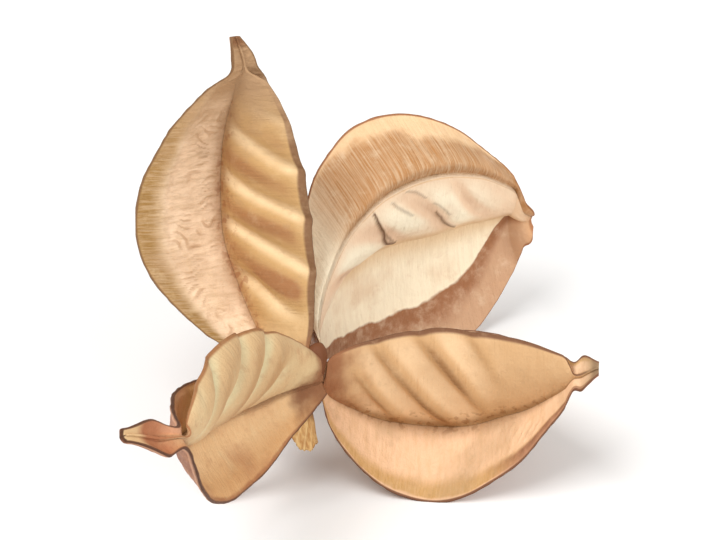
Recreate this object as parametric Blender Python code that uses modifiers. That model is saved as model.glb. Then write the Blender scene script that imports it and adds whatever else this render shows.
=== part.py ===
"""A dried, opened cotton boll: four boat-shaped valves round a short column, the
ragged calyx below them and a piece of the stalk. It lies as it fell, on the belly of
the right valve, the edge of the back valve and the broken end of the stalk.
Metres, +Z up. The origin is on the ground, at the middle of the object's box.
"""

import math
from dataclasses import dataclass

import bmesh
import bpy
import numpy as np
from mathutils import Matrix, Vector
from mathutils.geometry import tessellate_polygon

MM = 0.001
WELD = 1e-6               # metres
GAP = 0.3                 # between neighbouring pieces, mm

# The boll as a whole: lengths in millimetres, angles in degrees
AXIS_TILT = 24.5          # lean of the boll's axis away from upright
AXIS_HEADING = 30.4       # the way it leans, from +X towards +Y
CENTRE_HEIGHT = 17.3      # of the point where the valves meet, above the ground
VALVE_LENGTH = 45.0       # of the closed boll that MERIDIAN describes
VALVE_RADIUS = 16.0       # at its widest
SECTOR = 45.0             # each valve spans this much either side of its midline
WALL = 0.95               # thickness of a valve at its midline
MARGIN = 0.62             # of that thickness is left at the margins
BEAK_START = 0.8          # share of a valve's length where its sides close round
SEPTUM = 0.7              # thickness of the partition on a valve's midline
SEPTUM_MIN = 0.35         # height of the ridge that is left of it at the ends
FOLD_DEPTH = 0.5          # of the slanting folds that the seeds left in the septum
FOLDS = 5.5               # along one septum
FOLD_SLANT = 1.1          # folds that a line straight up the septum crosses
STATIONS = 27             # sections along a valve
SIDE_POINTS = 6           # on the inner wall, each side of the septum
SEPTUM_POINTS = 7         # up each face of the septum

# Half the closed boll's outline: distance along its axis, radius
MERIDIAN = (
    (0.0, 2.6), (1.6, 6.8), (5.2, 11.0), (10.5, 14.4), (17.0, 16.0), (24.0, 14.8),
    (30.5, 11.2), (35.5, 6.4), (38.6, 2.7), (41.5, 1.2), (45.0, 0.4),
)
BODY_END = 37.0           # where the outline turns into the beak

# The column in the middle, the stalk below it and the calyx round the stalk
COLUMN_RADIUS = 2.0
COLUMN_HALF = 4.2         # half its length along the boll's axis
STALK_RADIUS = 1.45
STALK_BEND = 5.0          # sideways, at the broken end
STALK_LENGTH = 20.9       # from the centre to the broken end
STALK_STATIONS = (-4.05, -3.55, -2.8, -1.4, 0, 1.4, 2.6, 4, 6, 8, 10.5, 13, 15.5, 20.9)
CALYX_TOP = 4.9           # below the centre, along the axis
CALYX_RADIUS = 2.15       # inner, at its top
CALYX_FLARE = 0.52        # it widens by this much for each millimetre down
CALYX_DEPTH = 3.0         # to the notches between its teeth
CALYX_TEETH = 5
TOOTH = 2.3               # length of a tooth
CALYX_THICKNESS = 0.6
CALYX_ROWS = 5            # points down the skirt
CREASE = 40               # degrees, above which an edge is shaded sharp


@dataclass
class Form:
    """How one valve dried. Its own frame has X from base to tip, Z into the hollow
    and Y across, with the closed boll's axis as the line Y = Z = 0."""
    azimuth: float        # round the boll's axis, from the side towards +X
    opening: float        # between the boll's axis and the valve's
    roll: float           # about the valve's own axis
    length: float
    radius: float
    flatten: float        # 0 keeps the closed boll's curve across, towards 1 opens it
    spread: float = 1.0   # width across, relative to the closed boll's sector
    left: float = 1.0     # more of the same, for the half at Y < 0 alone
    swell: float = 0.0    # how much wider it is towards the tip than at the base
    left_swell: float = 0.0      # more swell, for that half alone
    margin_curl: float = 0.0     # of the margins, in radii, inwards when positive
    left_curl: float = 0.0       # more margin_curl, for that half alone
    bend: float = 0.0     # backwards at the tip, in lengths
    sideways: float = 0.0
    twist: float = 0.0
    body: float = 1.0     # length of the part before the beak, relative
    hook_y: float = 0.0   # of the beak
    hook_z: float = 0.0
    beak: float = 0.0     # extra radius where the beak starts
    hollow_beak: float = 0.8     # how far its sides close round
    septum: float = 0.9   # height, in radii
    lean: float = 0.0     # of the septum, curling over from root to edge
    reach: float = 0.0    # how much nearer the tip it ends
    lying: float = 0.0    # share of the right half that a septum lying flat covers
    hinge: float = 2.6    # from the boll's axis to where the valve bends out
    shift: tuple = (0.0, 0.0, 0.0)      # of its base, in the world


VALVES = {
    "valve_upright": Form(
        azimuth=151, opening=28.6, roll=-34, length=43.2, radius=16.5, flatten=0.55,
        margin_curl=-0.22, bend=0.02, sideways=0.04, body=1.04, hook_y=0.27, hook_z=0.07,
        septum=0.93, lean=-39, hinge=2.7, shift=(-0.4, -1.2, 0.9)),
    "valve_back": Form(
        azimuth=32.6, opening=66.7, roll=96, length=42.5, radius=19, flatten=0.42,
        spread=1.22, swell=0.72, left_swell=0.12, margin_curl=-0.6, left_curl=0.6,
        bend=0.31, sideways=-0.04, twist=-4.5, body=1.16, hook_y=0.1, hook_z=0.5,
        lying=0.68, hinge=2.0, shift=(0.6, 0.9, -0.4)),
    "valve_right": Form(
        azimuth=-3.6, opening=70, roll=47.6, length=36, radius=16.2, flatten=0.35,
        margin_curl=-0.03, bend=-0.045, sideways=0.053, twist=-2, body=1.07, beak=0.7,
        septum=1.04, lean=52.6, hinge=1.2, shift=(0.5, -1.0, 0)),
    "valve_front": Form(
        azimuth=-99.6, opening=84, roll=-62, length=47, radius=14, flatten=0.22,
        spread=0.95, left=0.6, swell=-0.25, left_swell=0.85, margin_curl=-0.04,
        bend=0.32, sideways=-0.11, twist=15, body=0.98, hook_y=-0.1, hook_z=0.45,
        beak=1.3, hollow_beak=1.0, septum=1.1, lean=-118, reach=-0.06, hinge=4.7,
        shift=(0, 1.6, -1.1)),
}

COLOURS = {
    "valve_upright": (0.72, 0.55, 0.33, 1),
    "valve_back": (0.76, 0.58, 0.37, 1),
    "valve_right": (0.70, 0.50, 0.29, 1),
    "valve_front": (0.66, 0.47, 0.28, 1),
    "calyx": (0.42, 0.24, 0.11, 1),
    "stem": (0.16, 0.07, 0.04, 1),
}


def smooth(start, end, x):
    """0 before start, 1 after end, with an even slope between."""
    t = np.clip((np.asarray(x, float) - start) / (end - start), 0, 1)
    return t * t * (3 - 2 * t)


def catmull_rom(points, t):
    """The point at t (0 to 1) on a smooth curve through evenly timed points."""
    known = np.asarray(points, float)
    last = len(known) - 1
    padded = np.vstack([2 * known[0] - known[1], known, 2 * known[-1] - known[-2]])
    x = np.clip(np.asarray(t, float), 0, 1) * last
    i = np.minimum(x.astype(int), last - 1)
    f = (x - i)[..., None]
    a, b, c, d = padded[i], padded[i + 1], padded[i + 2], padded[i + 3]
    cubic = 3 * b - a - 3 * c + d
    return 0.5 * (2 * b + (c - a) * f + (2 * a - 5 * b + 4 * c - d) * f**2 + cubic * f**3)


def boll_frame():
    """Rotation whose Z is the boll's axis and whose X is the side towards +X."""
    tilt = math.radians(AXIS_TILT)
    heading = math.radians(AXIS_HEADING)
    axis = Vector((math.sin(tilt) * math.cos(heading),
                   math.sin(tilt) * math.sin(heading),
                   math.cos(tilt)))
    side = Vector((1, 0, 0))
    side = (side - side.dot(axis) * axis).normalized()
    return Matrix((side, axis.cross(side), axis)).transposed()


def meridian(form, s):
    """Distance along the valve and radius at s, 0 at the base and 1 at the tip."""
    along, radius = catmull_rom(MERIDIAN, s)
    body_end = BODY_END * form.body
    if along < BODY_END:
        along = along * form.body
    else:
        beak_share = (along - BODY_END) / (VALVE_LENGTH - BODY_END)
        along = body_end + beak_share * (VALVE_LENGTH - body_end)
    radius = radius * form.radius / VALVE_RADIUS
    neck = smooth(BEAK_START, 0.88, s) * (1 - 0.75 * smooth(0.88, 1, s))
    radius += form.beak * neck
    return along * form.length / VALVE_LENGTH, radius


def wall_line(form, s, across):
    """Inner wall of one section, as (Y, Z) points. Across runs from -1 to 1."""
    radius = meridian(form, s)[1]
    across = np.asarray(across, float)
    half = math.radians(SECTOR) * (1 + form.hollow_beak * smooth(BEAK_START, 0.95, s))
    swell = form.swell + np.where(across < 0, form.left_swell, 0.0)
    swell = 1 + swell * (smooth(0.1, 0.8, s) - 0.5)
    bow = radius / (1 - form.flatten)
    side = np.where(across < 0, form.left, 1.0) * swell
    angle = across * side * half * radius * form.spread / bow
    y = bow * np.sin(angle)
    z = bow * (1 - np.cos(angle)) - radius
    curl = form.margin_curl + np.where(across < 0, form.left_curl, 0.0)
    curl = curl * radius * smooth(2.5, 8, radius)
    z = z + curl * smooth(0.7, 1, np.abs(across))**2
    return np.stack([y, z], -1)


def outward(line):
    """Unit normals of a section line, away from the hollow."""
    along = np.gradient(line, axis=0)
    along /= np.linalg.norm(along, axis=1)[:, None]
    return np.stack([along[:, 1], -along[:, 0]], -1)


def septum_faces(form, s, root):
    """Left and right face of a standing septum, from its root up and down again."""
    radius = meridian(form, s)[1]
    h = np.linspace(0, 1, SEPTUM_POINTS)
    end = smooth(0.72 + form.reach, 0.86 + form.reach, s)
    height = radius * form.septum * smooth(0, 0.06, s) * (1 - 0.9 * end)
    height = max(height, SEPTUM_MIN)
    lean = math.radians(form.lean) * smooth(0.4, 2.5, height)
    lean = lean if abs(lean) > 1e-4 else 1e-4
    middle = np.stack([height / lean * (1 - np.cos(lean * h)),
                       height / lean * np.sin(lean * h) - radius], -1)
    sideways = outward(middle)
    folds = np.sin(2 * math.pi * (FOLDS * s + FOLD_SLANT * h))
    folds = folds * np.sin(math.pi * h)**0.8 * smooth(0.06, 0.2, s) * (1 - smooth(0.62, 0.8, s))
    middle = middle + sideways * (FOLD_DEPTH * folds)[:, None]
    thickness = min(SEPTUM, 1.2 * root) * (1.1 - 0.25 * h)
    offset = sideways * (thickness / 2)[:, None]
    return middle - offset, (middle + offset)[::-1]


def lying_faces(form, s, wall_end):
    """Top of a septum that lies flat on the right half, and the wall beyond it."""
    radius = meridian(form, s)[1]
    cover = form.lying * (1 - 0.35 * smooth(0.7, 0.9, s)) * smooth(-0.1, 0.1, s)
    h = np.linspace(0, 1, SEPTUM_POINTS)
    under = wall_line(form, s, cover * h)
    lift = SEPTUM * (0.35 + 0.65 * smooth(0, 0.25, h)) * min(1, radius / 5)
    bulge = 0.09 * radius * np.sin(math.pi * h) * smooth(0.02, 0.2, s)
    folds = FOLD_DEPTH * 0.6 * np.sin(2 * math.pi * (FOLDS * s + FOLD_SLANT * h))
    folds = folds * np.sin(math.pi * h) * smooth(0.06, 0.2, s)
    bulge = (bulge + folds) * (1 - smooth(0.75, 0.9, s))
    top = under - outward(under) * (lift + bulge)[:, None]
    beyond = wall_line(form, s, np.linspace(cover + 0.015, 1, wall_end))
    return top, beyond


def section(form, s):
    """One closed (Y, Z) outline: inner wall with its septum, then the outside."""
    points = 2 * SIDE_POINTS + 1
    across = np.linspace(-1, 1, points)
    inner = wall_line(form, s, across)
    thickness = WALL * (MARGIN + (1 - MARGIN) * (1 - np.abs(across)**3))
    thickness = thickness * (1 - 0.3 * smooth(BEAK_START, 1, s))
    outer = inner + outward(inner) * thickness[:, None]
    left = inner[:SIDE_POINTS]
    if form.lying:
        top, beyond = lying_faces(form, s, SIDE_POINTS + SEPTUM_POINTS)
        return np.vstack([left, top, beyond, outer[::-1]])
    root = min(-inner[SIDE_POINTS - 1, 0], inner[SIDE_POINTS + 1, 0])
    rise, fall = septum_faces(form, s, root)
    return np.vstack([left, rise, fall, inner[SIDE_POINTS + 1:], outer[::-1]])


def dried(form, x, outline):
    """Bends, twists and hooks one section as the valve did when it dried."""
    u = min(x / form.length, 1.2)
    turn = math.radians(form.twist) * u
    y = outline[:, 0] * math.cos(turn) - outline[:, 1] * math.sin(turn)
    z = outline[:, 0] * math.sin(turn) + outline[:, 1] * math.cos(turn)
    hook = 10 * max((u - 0.62) / 0.38, 0)**2
    y = y + form.sideways * form.length * u**2 + form.hook_y * hook
    z = z - form.bend * form.length * u**2 - form.hook_z * hook
    return np.stack([np.full_like(y, x), y, z], -1)


def valve_matrix(form):
    """From the valve's own frame to the world, in millimetres."""
    azimuth = math.radians(form.azimuth)
    opening = math.radians(form.opening)
    out = Vector((math.cos(azimuth), math.sin(azimuth), 0))
    up = Vector((0, 0, 1))
    x_axis = math.cos(opening) * up + math.sin(opening) * out
    z_axis = math.sin(opening) * up - math.cos(opening) * out
    turn = Matrix((x_axis, z_axis.cross(x_axis), z_axis)).transposed()
    roll = Matrix.Rotation(math.radians(form.roll), 3, "X")
    place = (boll_frame() @ turn @ roll).to_4x4()
    base = boll_frame() @ (out * form.hinge)
    place.translation = base + Vector(form.shift) + Vector((0, 0, CENTRE_HEIGHT))
    return place @ Matrix.Translation((0, 0, form.hinge))


def collection(name):
    """A new collection of the scene."""
    group = bpy.data.collections.new(name)
    bpy.context.scene.collection.children.link(group)
    return group


def material(name):
    """A plain dry surface in the piece's colour."""
    surface = bpy.data.materials.new(name)
    surface.use_nodes = True
    shader = surface.node_tree.nodes["Principled BSDF"]
    shader.inputs["Base Color"].default_value = COLOURS[name]
    shader.inputs["Roughness"].default_value = 0.75
    shader.inputs["Metallic"].default_value = 0.0
    return surface


def add_object(name, bm, group):
    """An object made of a bmesh in millimetres."""
    bmesh.ops.scale(bm, vec=(MM, MM, MM), verts=bm.verts)
    bmesh.ops.recalc_face_normals(bm, faces=bm.faces)
    mesh = bpy.data.meshes.new(name)
    bm.to_mesh(mesh)
    bm.free()
    item = bpy.data.objects.new(name, mesh)
    group.objects.link(item)
    return item


def loft(rings, first, last):
    """A closed body through rings with the same number of points. First and last are
    the flat outlines of the end rings, from which the ends are filled."""
    bm = bmesh.new()
    rows = [[bm.verts.new(point) for point in ring] for ring in rings]
    count = len(rows[0])
    for near, far in zip(rows, rows[1:]):
        for j in range(count):
            k = (j + 1) % count
            a, b, c, d = near[j], far[j], far[k], near[k]
            if (a.co - c.co).length < (b.co - d.co).length:
                bm.faces.new((a, b, c))
                bm.faces.new((a, c, d))
            else:
                bm.faces.new((a, b, d))
                bm.faces.new((b, c, d))
    for row, outline in ((rows[0], first), (rows[-1], last)):
        flat = [Vector((y, z, 0)) for y, z in outline]
        for triangle in tessellate_polygon([flat]):
            bm.faces.new([row[i] for i in triangle])
    return bm


def make_valve(name, form, group):
    """One valve: wall, septum and beak in one body."""
    place = valve_matrix(form)
    stations = np.linspace(0, 1, STATIONS)
    outlines = [section(form, s) for s in stations]
    rings = []
    for s, outline in zip(stations, outlines):
        ring = dried(form, meridian(form, s)[0], outline)
        rings.append([place @ Vector(point) for point in ring])
    return add_object(name, loft(rings, outlines[0], outlines[-1]), group)


def stalk_point(t):
    """A point of the stalk's middle line, t millimetres below the centre."""
    bow = STALK_BEND * smooth(2, STALK_LENGTH, t)**1.3
    point = boll_frame() @ Vector((-bow, -0.2 * bow, -t))
    return point + Vector((0, 0, CENTRE_HEIGHT))


def stalk_radius(t):
    """Radius of the column and the stalk below it."""
    column = COLUMN_RADIUS * math.sqrt(max(1 - (t / COLUMN_HALF)**2, 0))
    stalk = STALK_RADIUS * (1 - 0.12 * smooth(6, STALK_LENGTH, t)) * smooth(-1, 2.5, t)
    return max(column, float(stalk))


def make_stem(group):
    """The column between the valves and the stalk below, as one tapered wire."""
    curve = bpy.data.curves.new("stem_line", "CURVE")
    curve.dimensions = "3D"
    curve.bevel_depth = MM
    curve.bevel_resolution = 5
    curve.use_fill_caps = True
    line = curve.splines.new("POLY")
    line.points.add(len(STALK_STATIONS) - 1)
    for point, t in zip(line.points, STALK_STATIONS):
        point.co = (*(stalk_point(t) * MM), 1)
        point.radius = stalk_radius(t)
    wire = bpy.data.objects.new("stem_line", curve)
    group.objects.link(wire)
    bpy.context.view_layer.update()
    solid = wire.evaluated_get(bpy.context.evaluated_depsgraph_get())
    bm = bmesh.new()
    bm.from_mesh(bpy.data.meshes.new_from_object(solid))
    bpy.data.objects.remove(wire)
    bmesh.ops.remove_doubles(bm, verts=bm.verts, dist=WELD)
    bmesh.ops.scale(bm, vec=(1 / MM, 1 / MM, 1 / MM), verts=bm.verts)
    return add_object("stem", bm, group)


def calyx_edge(turn):
    """Depth of the calyx's ragged edge at an angle round the stalk."""
    tooth = abs(math.sin(CALYX_TEETH * turn / 2))**0.7
    return CALYX_DEPTH + TOOTH * tooth * (1 + 0.35 * math.sin(2 * turn + 0.6))


def make_calyx(group):
    """The calyx: a thin ragged skirt round the top of the stalk."""
    sides = 8 * CALYX_TEETH
    bm = bmesh.new()
    frame = boll_frame()
    grid = []
    for i in range(sides):
        turn = 2 * math.pi * i / sides
        column = []
        for j in range(CALYX_ROWS):
            down = calyx_edge(turn) * j / (CALYX_ROWS - 1)
            radius = CALYX_RADIUS + CALYX_FLARE * down + 0.05 * down**2
            radius += 0.12 * down * math.sin(3 * turn + 1)
            t = CALYX_TOP + down
            local = Vector((radius * math.cos(turn), radius * math.sin(turn), 0))
            column.append(bm.verts.new(stalk_point(t) + frame @ local))
        grid.append(column)
    for near, far in zip(grid, grid[1:] + grid[:1]):
        for j in range(CALYX_ROWS - 1):
            bm.faces.new((near[j], far[j], far[j + 1], near[j + 1]))
    item = add_object("calyx", bm, group)
    shell = item.modifiers.new("thickness", "SOLIDIFY")
    shell.thickness = CALYX_THICKNESS * MM
    shell.offset = 0
    return item


def make_cutters(group):
    """The room that the column takes out of the valves, and the ground."""
    room = bmesh.new()
    bmesh.ops.create_uvsphere(room, u_segments=20, v_segments=14, radius=1)
    size = COLUMN_RADIUS + GAP
    bmesh.ops.scale(room, vec=(size, size, COLUMN_HALF + GAP), verts=room.verts)
    place = boll_frame().to_4x4()
    place.translation = (0, 0, CENTRE_HEIGHT)
    bmesh.ops.transform(room, matrix=place, verts=room.verts)
    ground = bmesh.new()
    bmesh.ops.create_cube(ground, size=200)
    bmesh.ops.translate(ground, vec=(0, 0, -100), verts=ground.verts)
    cutters = [add_object("column_room", room, group), add_object("ground", ground, group)]
    for cutter in cutters:
        cutter.hide_render = True
        cutter.display_type = "WIRE"
    return cutters


def cut(item, cutter):
    """Takes the cutter out of an object."""
    change = item.modifiers.new(cutter.name, "BOOLEAN")
    change.operation = "DIFFERENCE"
    change.object = cutter


def move_to_origin(items):
    """The move along the ground that brings the middle of the box over the origin."""
    bpy.context.view_layer.update()
    depsgraph = bpy.context.evaluated_depsgraph_get()
    corners = []
    for item in items:
        mesh = item.evaluated_get(depsgraph).data
        corners += [item.matrix_world @ vertex.co for vertex in mesh.vertices]
    low = [min(corner[i] for corner in corners) for i in range(2)]
    high = [max(corner[i] for corner in corners) for i in range(2)]
    return Vector((-(low[0] + high[0]) / 2, -(low[1] + high[1]) / 2, 0))


def main():
    for item in list(bpy.data.objects):
        bpy.data.objects.remove(item)
    boll = collection("cotton_boll")
    helpers = collection("cutters")
    column_room, ground = make_cutters(helpers)
    items = []
    for name, form in VALVES.items():
        valve = make_valve(name, form, boll)
        cut(valve, column_room)
        cut(valve, ground)
        items.append(valve)
    stem = make_stem(boll)
    cut(stem, ground)
    items += [stem, make_calyx(boll)]
    for item in items:
        item.data.materials.append(material(item.name))
        item.data.shade_smooth()
        item.data.set_sharp_from_angle(angle=math.radians(CREASE))
    move = move_to_origin(items)
    for item in items + [column_room, ground]:
        item.location = move


main()
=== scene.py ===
"""Dresses a dried, opened cotton boll: fine curled valves with their partitions, the
calyx, the stalk and column, a pale floor, soft light and the camera."""

import math
from dataclasses import dataclass

import bpy
import numpy as np
from bpy.props import FloatProperty, FloatVectorProperty, IntProperty, PointerProperty
from mathutils import Matrix, Vector, noise


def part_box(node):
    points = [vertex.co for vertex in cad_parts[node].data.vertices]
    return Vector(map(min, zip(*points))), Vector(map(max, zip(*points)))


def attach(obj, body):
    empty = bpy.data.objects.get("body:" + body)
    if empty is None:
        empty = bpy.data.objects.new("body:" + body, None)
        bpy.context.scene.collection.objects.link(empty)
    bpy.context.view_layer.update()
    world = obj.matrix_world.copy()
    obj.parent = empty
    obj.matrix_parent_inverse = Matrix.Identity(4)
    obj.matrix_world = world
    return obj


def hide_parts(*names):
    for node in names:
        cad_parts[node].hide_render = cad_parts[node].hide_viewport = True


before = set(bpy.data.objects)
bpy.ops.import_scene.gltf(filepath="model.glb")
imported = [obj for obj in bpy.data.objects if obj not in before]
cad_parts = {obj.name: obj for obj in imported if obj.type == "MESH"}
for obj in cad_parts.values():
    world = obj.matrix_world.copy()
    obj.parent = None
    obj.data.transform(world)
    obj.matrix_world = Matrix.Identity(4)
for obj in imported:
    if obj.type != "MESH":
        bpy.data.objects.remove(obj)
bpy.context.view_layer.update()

bl_info = {
    "name": "Cotton boll",
    "version": (1, 0, 0),
    "blender": (4, 5, 0),
    "location": "3D View > Sidebar > Boll",
    "description": "Makes a dried cotton boll, its light and its camera",
    "category": "Add Mesh",
}

MM = 0.001
NODE_BOXES = [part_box(node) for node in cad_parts]
BOX_CLEARANCE = 0.01             # from a finished piece to the box of the solids, mm
MERGE_DISTANCE = 2e-6            # of the points of a seam, metres
NOISE_GAIN = 1.6                 # brings the noise to about -1 to 1

# The boll as the solids have it: lengths in millimetres, angles in degrees
CENTRE = Vector((-7.38, 1.77, 17.3))     # where the valves meet
AXIS_TILT = 24.5
AXIS_HEADING = 30.4
VALVE_LENGTH = 45.0
VALVE_RADIUS = 16.0
SECTOR = 45.0
WALL = 0.95
MARGIN = 0.62
BEAK_START = 0.8
SEPTUM = 0.7
SEPTUM_MIN = 0.35
FOLD_DEPTH = 0.5
FOLD_RUN = 0.86 * math.pi        # the folds fade out a little beyond the free edge
ROOT_SHARE = 1 / 6               # of the half wall, under a partition's foot
HOOK_START, HOOK_RUN, HOOK_DEPTH = 0.62, 0.38, 10.0     # of the beak
MERIDIAN = (                     # distance along a valve, and its radius there
    (0.0, 2.6), (1.6, 6.8), (5.2, 11.0), (10.5, 14.4), (17.0, 16.0), (24.0, 14.8),
    (30.5, 11.2), (35.5, 6.4), (38.6, 2.7), (41.5, 1.2), (45.0, 0.4),
)
BODY_END = 37.0
COLUMN_RADIUS = 2.0
COLUMN_HALF = 4.2
STALK_RADIUS = 1.45
STALK_BEND = 5.0
STALK_LENGTH = 20.9
CALYX_TOP = 4.9
CALYX_RADIUS = 2.15
CALYX_FLARE = 0.52
CALYX_DEPTH = 3.0
CALYX_TEETH = 5
TOOTH = 2.3
CALYX_THICKNESS = 0.6


@dataclass
class Form:
    """How one valve dried, in its own frame: X to the tip, Z into the hollow."""
    azimuth: float             # round the boll's axis
    opening: float             # 0 stands up along the axis, 90 lies square to it
    roll: float                # round its own length
    length: float
    radius: float
    flatten: float             # 0 is curved as in the closed boll, near 1 is flat
    spread: float = 1.0        # width against that of a quarter of the boll
    left: float = 1.0          # the same for the half at Y < 0 alone
    swell: float = 0.0         # how much wider it gets towards the tip
    left_swell: float = 0.0    # more of that on the half at Y < 0
    margin_curl: float = 0.0   # of the margins, into the hollow where above 0
    left_curl: float = 0.0
    bend: float = 0.0          # bow away from the hollow, share of the length
    sideways: float = 0.0      # bow towards +Y, share of the length
    twist: float = 0.0         # from the base to the tip
    body: float = 1.0          # length of the body against that of an even valve
    hook_y: float = 0.0        # how far the beak hooks to each side
    hook_z: float = 0.0
    beak: float = 0.0          # added to the beak's radius
    hollow_beak: float = 0.8   # how far the beak closes round its hollow
    septum: float = 0.9        # height of a standing partition, in radii
    lean: float = 0.0          # how far it curls over
    reach: float = 0.0         # how much nearer the tip it ends
    lying: float = 0.0         # share of the right half that a flat partition covers
    hinge: float = 2.6         # from the boll's axis to the valve's foot
    shift: tuple = (0.0, 0.0, 0.0)
    seed: float = 0.0
    wrinkled: float = 0.6      # how strong the wrinkles of its wall are
    folds: float = 6.5         # along the whole partition
    slant: float = 1.0         # folds that a line straight up the partition crosses
    phase: float = 0.0
    folds_end: float = 0.6     # share of the length where they fade out


FORMS = {
    "valve_upright": Form(
        azimuth=151, opening=28.6, roll=-34, length=43.2, radius=16.5, flatten=0.55,
        margin_curl=-0.22, bend=0.02, sideways=0.04, body=1.04, hook_y=0.27, hook_z=0.07,
        septum=0.93, lean=-39, hinge=2.7, shift=(-0.4, -1.2, 0.9), seed=3.1,
        wrinkled=1.25, folds=6.6, slant=1.0, phase=0.1, folds_end=0.62),
    "valve_back": Form(
        azimuth=32.6, opening=66.7, roll=96, length=42.5, radius=19, flatten=0.42,
        spread=1.22, swell=0.72, left_swell=0.12, margin_curl=-0.6, left_curl=0.6,
        bend=0.31, sideways=-0.04, twist=-4.5, body=1.16, hook_y=0.1, hook_z=0.5,
        lying=0.68, hinge=2.0, shift=(0.6, 0.9, -0.4), seed=17.7,
        wrinkled=0.2, folds=5.0, slant=1.3, folds_end=0.75),
    "valve_right": Form(
        azimuth=-3.6, opening=70, roll=47.6, length=36, radius=16.2, flatten=0.35,
        margin_curl=-0.03, bend=-0.045, sideways=0.053, twist=-2, body=1.07, beak=0.7,
        septum=1.04, lean=52.6, hinge=1.2, shift=(0.5, -1.0, 0), seed=41.3,
        folds=5.6, slant=1.7, phase=0.15, folds_end=0.5),
    "valve_front": Form(
        azimuth=-99.6, opening=84, roll=-62, length=47, radius=14, flatten=0.22,
        spread=0.95, left=0.6, swell=-0.25, left_swell=0.85, margin_curl=-0.04,
        bend=0.32, sideways=-0.11, twist=15, body=0.98, hook_y=-0.1, hook_z=0.45,
        beak=1.3, hollow_beak=1.0, septum=1.1, lean=-118, reach=-0.06, hinge=4.7,
        shift=(0, 1.6, -1.1), seed=63.9, wrinkled=0.15, folds=6.0, slant=1.6),
}

# Cracks in the partition that lies flat: strength, then points at shares of its length
# and of its width
CRACKS = (
    (1.0, ((0.362, 0.97), (0.376, 0.77), (0.394, 0.55), (0.404, 0.35), (0.428, 0.14),
           (0.45, 0.08))),
    (0.6, ((0.394, 0.56), (0.415, 0.35), (0.44, 0.12))),
    (0.75, ((0.515, 0.5), (0.529, 0.39), (0.55, 0.235), (0.578, 0.08))),
    (0.45, ((0.41, 0.92), (0.436, 0.745), (0.462, 0.59))),
    (0.4, ((0.446, 0.97), (0.467, 0.9), (0.488, 0.784))),
    (0.3, ((0.505, 0.68), (0.53, 0.54), (0.55, 0.412))),
)
CRACK_POINTS = 14                # along each crack
CRACK_START, CRACK_WIDTH, CRACK_BELLY = 0.03, 0.15, 0.17     # from its middle line, mm
PARTITION_LENGTH, PARTITION_HEIGHT = 50.0, 9.0     # rough, for patterns laid on it
SEPTUM_ZONE, OUTSIDE_ZONE = 12, 30     # set the grain of each side apart
GRAIN_RADIUS = 4                 # added, so that the grain isn't pinched at the tip


def smooth(start, end, x):
    """0 before start, 1 after end, with an even slope between."""
    t = np.clip((np.asarray(x, float) - start) / (end - start), 0, 1)
    return t * t * (3 - 2 * t)


def catmull_rom(points, t):
    """The point at t (0 to 1) on a smooth curve through evenly timed points."""
    known = np.asarray(points, float)
    last = len(known) - 1
    padded = np.vstack([2 * known[0] - known[1], known, 2 * known[-1] - known[-2]])
    x = np.clip(np.asarray(t, float), 0, 1) * last
    i = np.minimum(x.astype(int), last - 1)
    f = (x - i)[..., None]
    a, b, c, d = padded[i], padded[i + 1], padded[i + 2], padded[i + 3]
    cubic = 3 * b - a - 3 * c + d
    return 0.5 * (2 * b + (c - a) * f + (2 * a - 5 * b + 4 * c - d) * f**2 + cubic * f**3)


def boll_frame():
    """Rotation whose Z is the boll's axis and whose X is the side towards +X."""
    tilt = math.radians(AXIS_TILT)
    heading = math.radians(AXIS_HEADING)
    axis = Vector((math.sin(tilt) * math.cos(heading),
                   math.sin(tilt) * math.sin(heading),
                   math.cos(tilt)))
    side = Vector((1, 0, 0))
    side = (side - side.dot(axis) * axis).normalized()
    return Matrix((side, axis.cross(side), axis)).transposed()


def meridian(form, s):
    """Distance along the valve and radius at s, 0 at the base and 1 at the tip."""
    along, radius = catmull_rom(MERIDIAN, s)
    body_end = BODY_END * form.body
    if along < BODY_END:
        along = along * form.body
    else:
        beak_share = (along - BODY_END) / (VALVE_LENGTH - BODY_END)
        along = body_end + beak_share * (VALVE_LENGTH - body_end)
    radius = radius * form.radius / VALVE_RADIUS
    neck = smooth(BEAK_START, 0.88, s) * (1 - 0.75 * smooth(0.88, 1, s))
    radius += form.beak * neck
    return along * form.length / VALVE_LENGTH, radius


def wall_line(form, s, across):
    """Inner wall of one section, as (Y, Z) points. Across runs from -1 to 1."""
    radius = meridian(form, s)[1]
    across = np.asarray(across, float)
    half = math.radians(SECTOR) * (1 + form.hollow_beak * smooth(BEAK_START, 0.95, s))
    swell = form.swell + np.where(across < 0, form.left_swell, 0.0)
    swell = 1 + swell * (smooth(0.1, 0.8, s) - 0.5)
    bow = radius / (1 - form.flatten)
    side = np.where(across < 0, form.left, 1.0) * swell
    angle = across * side * half * radius * form.spread / bow
    y = bow * np.sin(angle)
    z = bow * (1 - np.cos(angle)) - radius
    curl = form.margin_curl + np.where(across < 0, form.left_curl, 0.0)
    curl = curl * radius * smooth(2.5, 8, radius)
    z = z + curl * smooth(0.7, 1, np.abs(across))**2
    return np.stack([y, z], -1)


def outward(line):
    """Unit normals of a section line, away from the hollow."""
    along = np.gradient(line, axis=0)
    along /= np.linalg.norm(along, axis=1)[:, None] + 1e-12
    return np.stack([along[:, 1], -along[:, 0]], -1)


def wall_thickness(s, across):
    """Thickness of the wall: full at the midline, thin at the margins and the beak."""
    share = MARGIN + (1 - MARGIN) * (1 - np.abs(across)**3)
    return WALL * share * (1 - 0.3 * smooth(BEAK_START, 1, s))


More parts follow.
